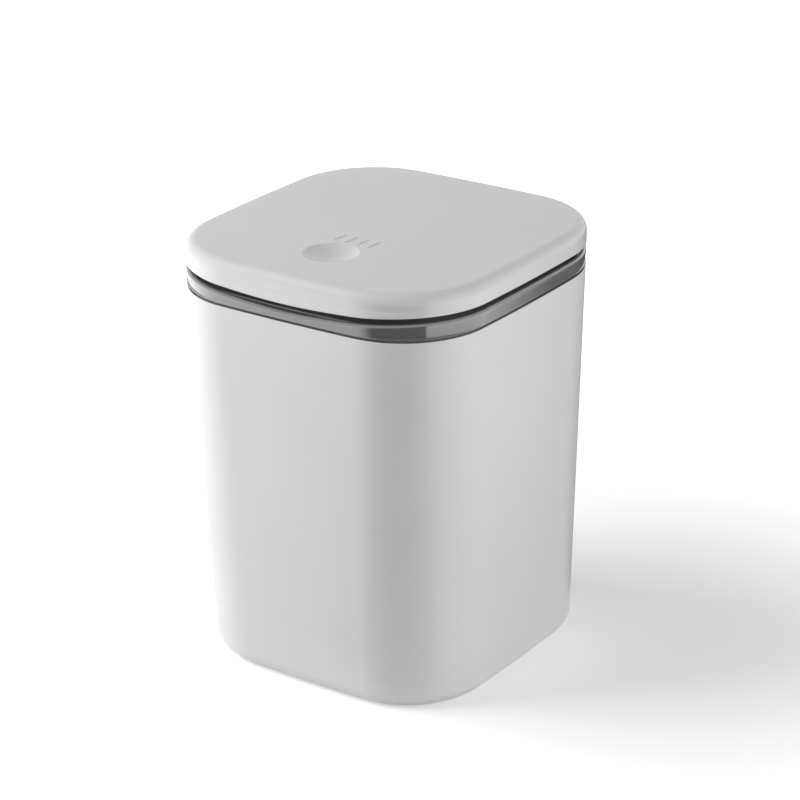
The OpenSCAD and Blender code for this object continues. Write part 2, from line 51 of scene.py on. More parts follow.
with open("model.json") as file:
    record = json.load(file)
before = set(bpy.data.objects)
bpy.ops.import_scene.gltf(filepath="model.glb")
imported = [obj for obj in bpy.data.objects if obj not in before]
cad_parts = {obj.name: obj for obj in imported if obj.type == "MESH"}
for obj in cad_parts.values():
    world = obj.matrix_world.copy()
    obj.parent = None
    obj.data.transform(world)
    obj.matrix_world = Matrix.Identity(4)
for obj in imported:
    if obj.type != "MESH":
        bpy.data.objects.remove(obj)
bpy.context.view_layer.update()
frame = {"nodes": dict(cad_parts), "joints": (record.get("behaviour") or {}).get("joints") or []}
JOINTS = {joint["name"]: joint for joint in frame["joints"]}
MM = 0.001


def corners(node):
    """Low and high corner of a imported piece's box, in metres."""
    return np.array(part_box(node))


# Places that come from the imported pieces, in metres
HALF_W, BIN_H = corners("lid_shell")[1, [0, 2]]
RIM_HALF, RIM_Z = corners("bin_body")[1, [0, 2]]
BAND_HALF = corners("top_ring")[1, 0]
LINER_Z, LINER_TOP_Z = corners("lid_liner")[:, 2]
HINGE_Y, HINGE_Z = JOINTS["lid_hinge"]["pos_m"][1:]
LATCH_Y = JOINTS["claw_right_pivot"]["pos_m"][1]
PIN_HALF = corners("hinge_pin")[1, 0]
PIN_R = corners("hinge_pin")[1, 2] - HINGE_Z
PLATE_LOW_Z = corners("latch_case")[1, 2]

# Small edges that the mouldings share and how close points are joined, in metres, and the angle
# in degrees from which an edge is kept crisp
EASE = 0.4 * MM
FINE_EASE = 0.12 * MM
JOIN = 0.002 * MM
THREAD_JOIN = 0.0001 * MM
SHARP = 35

# Roughness of the lid, of the pins, and of the wire and screws, and the lid's gloss
LID_ROUGH = (0.275, 0.285)
LID_GLOSS = 0.35
PIN_ROUGH = (0.22, 0.34)
WIRE_ROUGH = (0.25, 0.4)


def length(name, description, default):
    """A length in metres that is given in millimetres."""
    return FloatProperty(
        name=name, description=description, default=default * MM, unit="LENGTH", precision=5)


def level(name, description, default):
    """A level of light."""
    return FloatProperty(name=name, description=description, default=default, min=0)


def colour(name, description, default):
    """A colour as linear red, green and blue."""
    return FloatVectorProperty(
        name=name, description=description, default=default, subtype="COLOR", size=3, min=0, max=1)


class BinBodySizes(bpy.types.PropertyGroup):
    side_bow: length("Side bow", "Radius of the slow bow along each side, seen from above", 900)
    corner_r: length("Corner radius", "Radius of the upright corners at the rim", 35.6)
    base_taper: length("Base taper", "How much further in the body is at its base", 4.2)
    base_edge_r: length("Base edge radius", "Radius of the rounded bottom edge", 6.4)
    wall: length("Wall", "Thickness of the walls", 2.2)
    floor: length("Floor", "Thickness of the floor", 2.4)
    rim_round: length("Rim rounding", "Radius of the rim's outer edge", 0.2)
    base_step: length("Base step", "Depth of the shallow panel in the underside", 0.6)


class BinRingSizes(bpy.types.PropertyGroup):
    seam: length("Seam", "Height of the open groove above the body's rim", 1.1)
    groove: length("Groove", "Depth of the open groove above the body's rim", 1.7)
    band_h: length("Band height", "Height of the outer band at the sides", 7.6)
    band_dip: length("Band dip", "How far the band dips at the middle of the front", 2.9)
    lip_r: length("Lip radius", "Radius of the rounded ridge at the top of the band", 1.2)
    gutter: length("Gutter", "Depth of the gutter behind the ridge", 3.2)
    neck_half: length("Neck half width", "Half the width over the neck inside the lid", 62.3)
    neck_top: length("Neck top", "Height of the neck's top edge above the table", 166.75)
    wall: length("Wall", "Thickness of the neck and skirt", 1.8)
    skirt_h: length("Skirt height", "Depth of the skirt inside the body", 12)
    housing_half: length("Housing half width", "Half the width of the hinge housing", 45)
    housing_r: length("Housing radius", "Radius of the hinge housing about its pin", 5.4)


class BinLidSizes(bpy.types.PropertyGroup):
    side_h: length("Side height", "Height of the lid's side", 8.9)
    wall: length("Wall", "Thickness of the lid's walls", 2)
    corner_r: length("Corner radius", "Radius of the upright corners", 38)
    edge_r: length("Edge radius", "Radius of the rolled top edge", 4.4)
    dip: length("Dip", "How far the lower edge dips at the middle of the front", 2.2)
    lip_in: length("Finger lip", "How far the front stands in above the finger lip", 0.45)
    crease_z: length("Crease height", "Height of the finger lip's crease above the table", 168)
    notch_half: length("Notch half width", "Half the width of the cut over the hinge housing", 46)
    dimple_r: length("Dimple radius", "Radius of the dimple to press", 11)
    dimple_depth: length("Dimple depth", "Depth of the dimple", 3)
    dimple_out: length("Dimple place", "Distance of the dimple from the middle of the lid", 36.4)
    bar_h: length("Bar height", "Height of the raised bars behind the dimple", 0.3)
    bar_pitch: length("Bar pitch", "Distance between the raised bars", 5.4)
    bar_count: IntProperty(name="Bars", description="Number of raised bars", default=4, min=1, max=6)
    arm_x: length("Arm place", "Distance of each arm from the middle", 28)
    arm_half: length("Arm half width", "Half the width of an arm", 4)


class BinColours(bpy.types.PropertyGroup):
    body: colour("Body", "Light grey of the body", (0.66, 0.66, 0.66))
    lid: colour("Lid", "Light grey of the lid", (0.64, 0.64, 0.64))
    band: colour("Top ring", "Mid grey of the glossy top ring", (0.13, 0.13, 0.13))
    liner: colour("Liner", "Light grey of the matt panel under the lid", (0.5, 0.5, 0.5))
    acetal: colour("Latch white", "Natural white of the latch's moving pieces", (0.78, 0.78, 0.76))
    case: colour("Latch case", "Dark grey of the latch's case", (0.06, 0.06, 0.062))
    steel: colour("Steel", "Zinc plated steel of the pins and screws", (0.56, 0.57, 0.58))
    wire: colour("Spring wire", "Drawn wire of the springs", (0.42, 0.43, 0.45))


class BinStudio(bpy.types.PropertyGroup):
    ambient: level("Ambient", "Level of the even light", 0.05)
    left_lamp: level("Left lamp", "Power of the left soft box", 27)
    right_lamp: level("Right lamp", "Power of the right soft box", 14)


# Stations round an outline: four sides, each followed by a corner
SIDE_STEPS = 28
CORNER_STEPS = 32


def outline_arcs(w, r, bow):
    """Where the arcs of a bowed square meet.

    The corner's centre lies at (c, c) with c = (w - B + sqrt(2 (B - r)^2 - (w - B)^2)) / 2,
    and the side's arc ends where its normal has turned by T, with sin T = c / (B - r).
    """
    reach = w - bow
    centre = (reach + np.sqrt(2 * (bow - r) ** 2 - reach ** 2)) / 2
    return centre, np.arcsin(centre / (bow - r))


def corner_share(x, w, r, bow):
    """How far round its corner an outline passes a given x, from 0 at the side to 1."""
    centre, tilt = outline_arcs(w, r, bow)
    return (np.arccos((x - centre) / r) - tilt) / (np.pi / 2 - 2 * tilt)


def make_stations(extra_shares=()):
    """Quarter, kind and share of each station: sides run from -1 to 1, corners from 0 to 1."""
    side = np.linspace(-1, 1, SIDE_STEPS, endpoint=False)
    corner = np.linspace(0, 1, CORNER_STEPS, endpoint=False)
    corner = np.unique(np.concatenate([corner, extra_shares]))
    share = np.concatenate([side, corner])
    on_corner = np.arange(len(share)) >= len(side)
    quarter = np.repeat(np.arange(4), len(share))
    return quarter, np.tile(on_corner, 4), np.tile(share, 4)


def outline(w, r, bow, stations):
    """Bowed square seen from above, as x and y of rows by stations, for columns of w and r.

    On a side the normal turns by t from -T to T, and x = w - B + B cos t, y = B sin t.
    On a corner it turns on from T to 90 degrees - T, and x = c + r cos t, y = c + r sin t.
    Each further quarter is the first one turned by 90 degrees.
    """
    quarter, on_corner, share = stations
    centre, tilt = outline_arcs(w, r, bow)
    t = np.where(on_corner, tilt + (np.pi / 2 - 2 * tilt) * share, tilt * share)
    x = np.where(on_corner, centre + r * np.cos(t), w - bow + bow * np.cos(t))
    y = np.where(on_corner, centre + r * np.sin(t), bow * np.sin(t))
    points = (x + 1j * y) * 1j ** quarter
    return points.real, points.imag


def front_dip(x, y):
    """Share of the dip in the front: cos^2(90 degrees x / 62 mm), and 0 elsewhere."""
    half = 62 * MM
    return np.where((y < 0) & (abs(x) < half), np.cos(np.pi / 2 * x / half) ** 2, 0)


def column(values):
    """A list as a column, one value to a row."""
    return np.array(values, float)[:, None]


def columns(rows):
    """Rows of values as one column for each value."""
    return [column(values) for values in zip(*rows)]


def stacked(x, y, z):
    """Points of rows by stations from three arrays that broadcast together."""
    return np.stack(np.broadcast_arrays(x, y, z), axis=-1)


def arc(count, start=0.0, end=90.0):
    """Cosines and sines of evenly spaced angles from start to end degrees."""
    t = np.radians(np.linspace(start, end, count))
    return np.cos(t), np.sin(t)


def bend(outer, top, r, count, start=0.0, end=90.0):
    """Arc of a circle, as pairs (outer - r (1 - cos t), top - r (1 - sin t)), t in degrees."""
    return [(outer - r * (1 - c), top - r * (1 - s)) for c, s in zip(*arc(count, start, end))]


def skin(points, looped=False):
    """Closed skin over rows of points that close on themselves.

    A looped skin joins its last row to its first. Otherwise each end row closes on its own
    mean point. Faces that would point inwards, by the sign of the volume, are turned round.
    """
    rows, count = points.shape[:2]
    first = np.arange(rows if looped else rows - 1)[:, None] * count
    after = (first + count) % (rows * count)
    here = np.arange(count)[None, :]
    there = (here + 1) % count
    quads = np.stack([first + here, first + there, after + there, after + here], axis=-1)
    quads = quads.reshape(-1, 4)
    verts = points.reshape(-1, 3)
    caps = np.empty((0, 3), int)
    if not looped:
        verts = np.concatenate([verts, points[[0, -1]].mean(axis=1)])
        here, there, last = here[0], there[0], (rows - 1) * count
        low = np.stack([there, here, np.full(count, rows * count)], axis=-1)
        high = np.stack([last + here, last + there, np.full(count, rows * count + 1)], axis=-1)
        caps = np.concatenate([low, high])
    triangles = np.concatenate([quads[:, [0, 1, 2]], quads[:, [0, 2, 3]], caps])
    a, b, c = verts[triangles].transpose(1, 0, 2)
    if np.einsum("ij,ij->", a, np.cross(b, c)) < 0:
        quads, caps = quads[:, ::-1], caps[:, ::-1]
    return verts, quads, caps


def turned(profile, place, axis="Z", steps=48):
    """Surface of revolution: radius and height along the axis, carried round it, from place."""
    radius, height = columns(profile)
    t = np.linspace(0, 2 * np.pi, steps, endpoint=False)
    across, up, along = radius * np.cos(t), radius * np.sin(t), height + 0 * t
    order = {"X": (along, across, up), "Y": (across, along, up), "Z": (across, up, along)}[axis]
    return skin(stacked(*order) + np.array(place))


def rounded_rectangle(half_x, half_y, r, steps=6):
    """Rectangle with round corners, as x and y. Each corner is a quarter circle."""
    c, s = arc(steps)
    spin = (c + 1j * s)[None, :] * 1j ** np.arange(4)[:, None]
    sign = np.array([1 + 1j, -1 + 1j, -1 - 1j, 1 - 1j])[:, None]
    middle = (half_x - r) * sign.real + 1j * (half_y - r) * sign.imag
    points = (middle + r * spin).reshape(-1)
    return points.real, points.imag


def tube(points, radius, axis, sides=12):
    """Round wire along points: p + r (cos a u + sin a v), with u the axis, square to the wire."""
    ahead = np.concatenate([points[1:], points[-1:]])
    behind = np.concatenate([points[:1], points[:-1]])
    along = ahead - behind
    along /= np.linalg.norm(along, axis=1, keepdims=True)
    u = np.array(axis) - (along @ np.array(axis))[:, None] * along
    u /= np.linalg.norm(u, axis=1, keepdims=True)
    v = np.cross(along, u)
    t = np.linspace(0, 2 * np.pi, sides, endpoint=False)[None, :, None]
    return skin(points[:, None] + radius * (np.cos(t) * u[:, None] + np.sin(t) * v[:, None]))


def add_object(name, data):
    """Puts a new object into the scene."""
    thing = bpy.data.objects.new(name, data)
    bpy.context.scene.collection.objects.link(thing)
    return thing


def make_piece(name, surfaces, material, body, replaces=(), join=JOIN):
    """One mesh object from closed skins: close points are joined, and sharp edges stay crisp."""
    verts, faces, offset = [], [], 0
    for points, quads, caps in surfaces:
        verts.append(points)
        faces += (quads + offset).tolist() + (caps + offset).tolist()
        offset += len(points)
    mesh = bpy.data.meshes.new(name)
    mesh.from_pydata(np.concatenate(verts).tolist(), [], faces)
    welded = bmesh.new()
    welded.from_mesh(mesh)
    bmesh.ops.remove_doubles(welded, verts=welded.verts, dist=join)
    bmesh.ops.dissolve_degenerate(welded, edges=welded.edges, dist=join)
    welded.to_mesh(mesh)
    welded.free()
    mesh.shade_smooth()
    mesh.set_sharp_from_angle(angle=np.radians(SHARP))
    mesh.materials.append(material)
    piece = add_object(name, mesh)
    if body:
        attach(piece, body)
    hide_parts(*replaces)
    return piece


def finish_node(name, material, bevel=0.25):
    """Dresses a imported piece: its own material, joined triangles and small rounded edges."""
    node = frame["nodes"][name]
    node.data.materials.clear()
    node.data.materials.append(material)
    weld = node.modifiers.new("Weld", "WELD")
    weld.merge_threshold = JOIN
    edge = node.modifiers.new("Edges", "BEVEL")
    edge.width = bevel * MM
    edge.segments = 3
    edge.limit_method = "ANGLE"
    edge.angle_limit = np.radians(50)
    edge.harden_normals = True


# Materials. Patterns read Object coordinates, in metres.

def feed(node, inputs):
    """Sets a node's inputs: a value is stored, and another node's output is linked."""
    for key, value in inputs.items():
        if isinstance(value, bpy.types.NodeSocket):
            node.id_data.links.new(value, node.inputs[key])
        else:
            node.inputs[key].default_value = value


def add(tree, kind, inputs=(), **settings):
    """Adds a shader node, sets and feeds it, and returns its outputs."""
    node = tree.nodes.new("ShaderNode" + kind)
    for key, value in settings.items():
        setattr(node, key, value)
    feed(node, dict(inputs))
    return node.outputs


def new_material(name):
    """A node material that holds only its shader and output."""
    material = bpy.data.materials.new(name)
    material.use_nodes = True
    tree = material.node_tree
    tree.nodes.clear()
    shader = tree.nodes.new("ShaderNodeBsdfPrincipled")
    add(tree, "OutputMaterial", {"Surface": shader.outputs["BSDF"]})
    return material, tree, shader


def noise(tree, scale, detail, stretch=(1, 1, 1)):
    """Noise over the piece's own coordinates, in cycles a metre, stretched along an axis."""
    place = add(tree, "TexCoord")["Object"]
    place = add(tree, "Mapping", {"Vector": place, "Scale": stretch})["Vector"]
    return add(tree, "TexNoise", {"Vector": place, "Scale": scale, "Detail": detail})["Fac"]


def spread(tree, value, low, high):
    """Stretches a value between 0.3 and 0.7 over a range."""
    return add(tree, "MapRange", {"Value": value, "From Min": 0.3, "From Max": 0.7,
                                  "To Min": low, "To Max": high})["Result"]


def tint(tree, base, value, change):
    """Base colour that varies by a share either way as a value goes from 0.3 to 0.7."""
    dark, light = ([min(c * k, 1) for c in base] + [1] for k in (1 - change, 1 + change))
    inputs = {"A": dark, "B": light, "Factor": spread(tree, value, 0, 1)}
    return add(tree, "Mix", inputs, data_type="RGBA")["Result"]


def bump(tree, value, depth, strength=1.0):
    """Normal of a fine relief of a depth in metres."""
    return add(tree, "Bump", {"Height": value, "Distance": depth, "Strength": strength})["Normal"]


def plastic(name, base, tone, grain, relief, inputs=()):
    """Plastic with a tone that varies slowly, its own roughness and a fine relief.

    Tone is (cycles a metre, detail, share), grain is (cycles a metre, detail, low, high) and
    relief is (cycles a metre, detail, depth in metres, strength).
    """
    material, tree, shader = new_material(name)
    feed(shader, {"Base Color": tint(tree, base, noise(tree, *tone[:2]), tone[2]),
                  "Roughness": spread(tree, noise(tree, *grain[:2]), *grain[2:]),
                  "Normal": bump(tree, noise(tree, *relief[:2]), *relief[2:]), **dict(inputs)})
    return material


def satin_plastic(name, base, rough=(0.3, 0.36), gloss=0.0):
    """Moulded plastic with a satin face: slow variation of tone, a fine skin and a soft gloss."""
    return plastic(name, base, (22, 2, 0.012), (60, 3, *rough), (2000, 2, 0.002 * MM, 0.15),
                   {"IOR": 1.49, "Coat Weight": gloss, "Coat Roughness": 0.06})


def polished_plastic(name, base):
    """Polished plastic of the top ring: a clear sharp gloss over a smooth grey."""
    return plastic(name, base, (40, 2, 0.03), (300, 4, 0.1, 0.15), (260, 2, 0.003 * MM, 0.4),
                   {"IOR": 1.65, "Coat Weight": 1.0, "Coat Roughness": 0.03, "Coat IOR": 1.75})


def sparked_plastic(name, base):
    """Matt plastic with the fine spark-eroded grain of hidden mouldings."""
    return plastic(name, base, (90, 3, 0.03), (900, 4, 0.5, 0.62), (2600, 2, 0.02 * MM))


def acetal(name, base):
    """Natural white acetal: slightly translucent and waxy."""
    return plastic(name, base, (150, 3, 0.02), (700, 3, 0.3, 0.4), (1800, 2, 0.006 * MM),
                   {"IOR": 1.48, "Subsurface Weight": 0.15,
                    "Subsurface Radius": (0.6 * MM, 0.5 * MM, 0.4 * MM)})


def drawn_metal(name, base, along, rough):
    """Metal with fine marks that run along one axis."""
    material, tree, shader = new_material(name)
    marks = noise(tree, 2400, 4, [0.06 if axis == along else 1 for axis in "XYZ"])
    feed(shader, {"Base Color": tint(tree, base, noise(tree, 500, 3), 0.08), "Metallic": 1.0,
                  "Roughness": spread(tree, marks, *rough), "Normal": bump(tree, marks, 0.006 * MM)})
    return material


def material_once(name, maker, key, *values):
    """Finish in one of the bin's colours, made once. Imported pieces' materials keep their names."""
    name, base = "finish_" + name, getattr(bpy.context.scene.bin_colours, key)
    return bpy.data.materials.get(name) or maker(name, base, *values)


# Shapes

def body_surface(sizes):
    """Tapered body: one skin from the underside, up the outside, over the rim and down inside.

    Each row holds its half width, its height and the share of its outline that is used, so that
    the panel in the underside and the floor close towards the middle.
    """
    base_half = RIM_HALF - sizes.base_taper
    floor_half = base_half - sizes.base_edge_r
    step = sizes.base_step
    panel = [(floor_half, step, k) for k in (0.3, 0.6, 0.88, 0.925)]
    panel += [(floor_half, 0.5 * step, 0.935), (floor_half, 0.0, 0.945), (floor_half, 0.0, 0.97)]
    foot = bend(base_half, 2 * sizes.base_edge_r, sizes.base_edge_r, 14, -90, 0)
    side_top = RIM_Z - sizes.rim_round
    wall_z = np.linspace(sizes.base_edge_r, side_top, 14)[1:]
    taper = (wall_z - sizes.base_edge_r) / (side_top - sizes.base_edge_r)
    outside = list(zip(base_half + sizes.base_taper * taper, wall_z))
    rim = bend(RIM_HALF, RIM_Z, sizes.rim_round, 6)
    inner_half, low_half = RIM_HALF - sizes.wall, base_half - sizes.wall
    slope = 0.3 * MM
    rim += [(inner_half + slope, RIM_Z), (inner_half, RIM_Z - slope)]
    inner_r = sizes.base_edge_r - sizes.wall
    well_top = sizes.floor + inner_r
    inside = [(low_half + (inner_half - low_half) * k, well_top + (RIM_Z - well_top) * k)
              for k in np.linspace(1, 0, 10)[1:]]
    well = bend(low_half, sizes.floor + 2 * inner_r, inner_r, 8, 0, -90)
    walls = [(*row, 1.0) for row in foot + outside + rim + inside + well]
    bottom = [(low_half - inner_r, sizes.floor, k) for k in (0.8, 0.4)]
    w, z, scale = columns(panel + walls + bottom)
    r = sizes.corner_r - (RIM_HALF - w) + sizes.base_taper * (1 - np.clip(z / RIM_Z, 0, 1))
    x, y = outline(w, r, sizes.side_bow, make_stations())
    return skin(stacked(x * scale, y * scale, z))


def ring_surface(sizes, body, lid):
    """Top ring's moulding: seat, band, ridge, gutter, neck and skirt, carried round the outline.

    Each row holds its half width, its height, its dip and whether its corners follow the lid's.
    The band's ridge and the gutter sink at the front by their dip times cos^2.
    """
    band_z, ridge_z = RIM_Z + sizes.seam, RIM_Z + sizes.band_h
    side_top = ridge_z - sizes.lip_r
    gutter_z = ridge_z - sizes.gutter
    gutter_half = BAND_HALF - 2 * sizes.lip_r - 0.3 * MM
    groove_half = RIM_HALF - sizes.groove
    seat_half, seat_z = RIM_HALF - 0.22 * MM, RIM_Z + 0.08 * MM
    dip, low_dip = sizes.band_dip, 0.45 * sizes.band_dip
    fine, chip, foot, top = FINE_EASE, 0.035 * MM, 1.4 * MM, sizes.neck_top
    under = [(seat_half, RIM_Z), (seat_half, seat_z), (groove_half, seat_z), (groove_half, band_z),
             (RIM_HALF - fine, band_z), (RIM_HALF - chip, band_z + chip), (RIM_HALF, band_z + fine),
             (RIM_HALF, band_z + 0.2 * MM)]
    band_low = band_z + EASE
    band = [(RIM_HALF + (BAND_HALF - RIM_HALF) * k, band_low + (side_top - band_low) * k, dip * k, 1)
            for k in (0.0, 0.06, 0.25, 0.5, 0.75)]
    ridge = [(*row, dip, 1) for row in bend(BAND_HALF, ridge_z, sizes.lip_r, 15, 0, 180)]
    gutter = [(gutter_half, gutter_z + EASE, low_dip, 1), (gutter_half - EASE, gutter_z, low_dip, 1)]
    gutter += [(*row, low_dip, 0)
               for row in bend(sizes.neck_half + 2 * foot, gutter_z + 2 * foot, foot, 8, -90, -180)]
    neck_in = sizes.neck_half - sizes.wall
    neck = [(sizes.neck_half, top - EASE), (sizes.neck_half - EASE, top), (neck_in + EASE, top),
            (neck_in, top - EASE)]
    skirt_z = RIM_Z - sizes.skirt_h
    skirt_half = RIM_HALF - body.wall - 0.5 * MM
    skirt_low = skirt_half - body.base_taper * sizes.skirt_h / RIM_Z - 0.2 * MM
    skirt = [(neck_in, RIM_Z + 1 * MM), (skirt_half - sizes.wall, RIM_Z - 1.5 * MM),
             (skirt_low - sizes.wall, skirt_z), (skirt_low - EASE, skirt_z),
             (skirt_low, skirt_z + EASE), (skirt_half, RIM_Z - 0.3 * MM), (skirt_half, RIM_Z)]
    under, inner = ([(*row, 0, 0) for row in rows] for rows in (under, neck + skirt))
    w, z, drop, as_lid = columns(under + band + ridge + gutter + inner)
    r = np.where(as_lid > 0, lid.corner_r - (HALF_W - w), body.corner_r - (RIM_HALF - w))
    x, y = outline(w, r, body.side_bow, make_stations())
    height = z - drop * front_dip(x, y)
    under_housing = (y > 0) & (abs(x) < sizes.housing_half - 1.4 * MM) & (w < sizes.neck_half + EASE)
    height = np.where(under_housing, np.minimum(height, HINGE_Z - 4 * MM), height)
    return skin(stacked(x, y, height), looped=True)


def housing_surface(sizes, lid):
    """Hinge housing: a rounded bar about the hinge's axis, carried along X.

    Above the pin a section is a circle of radius R, and below it a box: its reach at the turn t
    is min(R / |cos t|, low / -sin t). Its height is cut to the floor of the arm slots and spring
    pockets, and its depth to the ring's outline. The end rows close on the pin's bore.
    """
    slot_floor, pocket_floor, pocket_back = HINGE_Z - 3.6 * MM, HINGE_Z - 3 * MM, 3.7 * MM
    pocket_from, pocket_to = 9 * MM, 18.5 * MM
    slot_from, slot_to = lid.arm_x - lid.arm_half - EASE, lid.arm_x + lid.arm_half + EASE
    walls = np.array([pocket_from, pocket_to, slot_from, slot_to])
    ends, end_round, step, tiny = sizes.housing_half, 0.5 * MM, 0.04 * MM, 1e-6
    breaks = np.concatenate([walls - step, walls + step])
    even = np.linspace(-ends + 1 * MM, ends - 1 * MM, 60)
    inner_x = np.unique(np.concatenate([breaks, -breaks, even]))
    back_turn = np.arccos(pocket_back / sizes.housing_r)
    low = HINGE_Z - RIM_Z - 1.5 * MM
    corner = np.arctan2(low, sizes.housing_r)
    even = np.linspace(-np.pi, np.pi, 97)[:-1] + 1e-4
    kinks = [-corner, corner - np.pi, back_turn - 0.002, back_turn + 0.002]
    t = np.unique(np.concatenate([even, kinks]))
    box = np.minimum(sizes.housing_r / np.clip(abs(np.cos(t)), tiny, None),
                     low / np.clip(-np.sin(t), tiny, None))
    radius = np.where(np.sin(t) > 0, sizes.housing_r, box)
    c, s = arc(4)
    inset = column([0, 0, *end_round * (1 - s), *0 * inner_x, *end_round * (1 - s[::-1]), 0, 0])
    x = column([-PIN_HALF, -ends, *(end_round * (1 - c) - ends), *inner_x,
                *(ends - end_round * (1 - c[::-1])), ends, PIN_HALF])
    reach = radius - inset
    reach[[0, 1, -2, -1]] = PIN_R + 0.05 * MM
    corner_r = lid.corner_r - (HALF_W - RIM_HALF)
    straight = RIM_HALF - corner_r
    depth = straight + np.sqrt(corner_r ** 2 - np.clip(abs(x) - straight, 0, None) ** 2)
    y = np.minimum(HINGE_Y + reach * np.cos(t), depth)
    z = HINGE_Z + reach * np.sin(t)
    in_slot = (abs(x) > slot_from) & (abs(x) < slot_to)
    in_pocket = (abs(x) > pocket_from) & (abs(x) < pocket_to) & (y < HINGE_Y + pocket_back)
    z = np.where(in_slot, np.minimum(z, slot_floor), z)
    z = np.where(in_pocket, np.minimum(z, pocket_floor), z)
    return skin(stacked(x, y, z))


def plate_surfaces(sizes):
    """Latch plate: a rectangle round the latch's mouth, with a screw boss at each side."""
    low, top, e = PLATE_LOW_Z, PLATE_LOW_Z + 2 * MM, 0.25 * MM
    front, back, half = -(sizes.neck_half - 0.9 * MM), LATCH_Y + 8.2 * MM, 17 * MM
    mouth_x, mouth_y, boss_r, boss_h = 9 * MM, 4.8 * MM, 2.8 * MM, 3.4 * MM
    outer = (half, (back - front) / 2, (front + back) / 2, 1.5 * MM)
    outer_eased = (half - e, outer[1] - e, outer[2], 1.3 * MM)
    mouth = (mouth_x, mouth_y, LATCH_Y, 0.6 * MM)
    mouth_eased = (mouth_x + e, mouth_y + e, LATCH_Y, 0.8 * MM)
    rows = [(*outer, low + e), (*outer_eased, low), (*mouth_eased, low), (*mouth, low + e),
            (*mouth, top - e), (*mouth_eased, top), (*outer_eased, top), (*outer, top - e)]
    points = np.stack([stacked(*rounded_rectangle(hx, hy, r), z) + [0, y, 0]
                       for hx, hy, y, r, z in rows])
    boss_x = corners("latch_screws")[1, 0] - 2.4 * MM
    foot = [(boss_r + 0.5 * MM, top - 0.3 * MM), (boss_r + 0.15 * MM, top + 0.15 * MM),
            (boss_r, top + 0.5 * MM)]
    profile = foot + bend(boss_r, top + boss_h, e, 5)
    bosses = [turned(profile, (side * boss_x, LATCH_Y, 0)) for side in (-1, 1)]
    return [skin(points, looped=True), *bosses]


